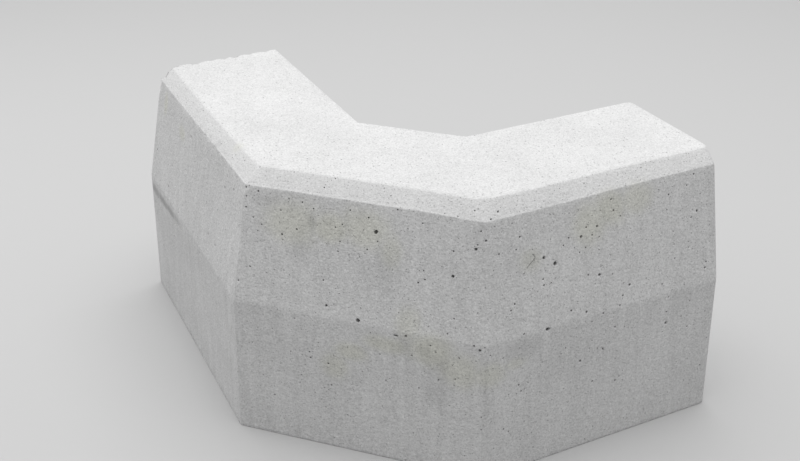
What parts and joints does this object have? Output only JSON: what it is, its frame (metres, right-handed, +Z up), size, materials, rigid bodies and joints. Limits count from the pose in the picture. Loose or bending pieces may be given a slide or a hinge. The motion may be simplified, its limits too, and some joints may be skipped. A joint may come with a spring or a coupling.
{
  "type": "precast concrete corner kerb stone",
  "caption": "Corner kerb cast in one piece: three short mitred legs with a flat top, a chamfered outer arris and a battered outer face, for a two-bend corner.",
  "frame": {"origin": "centre of the middle leg's bed, on the level that the stone stands on", "axes": "+Z up; +X along the middle leg towards the right leg, seen from the road; -Y towards the road, the side with the chamfer"},
  "size_m": [0.9626, 0.4975, 0.4],
  "materials": {
    "concrete": "matte"
  },
  "bodies": {
    "root": {"kerb_corner_stone": "concrete"}
  },
  "joints": []
}
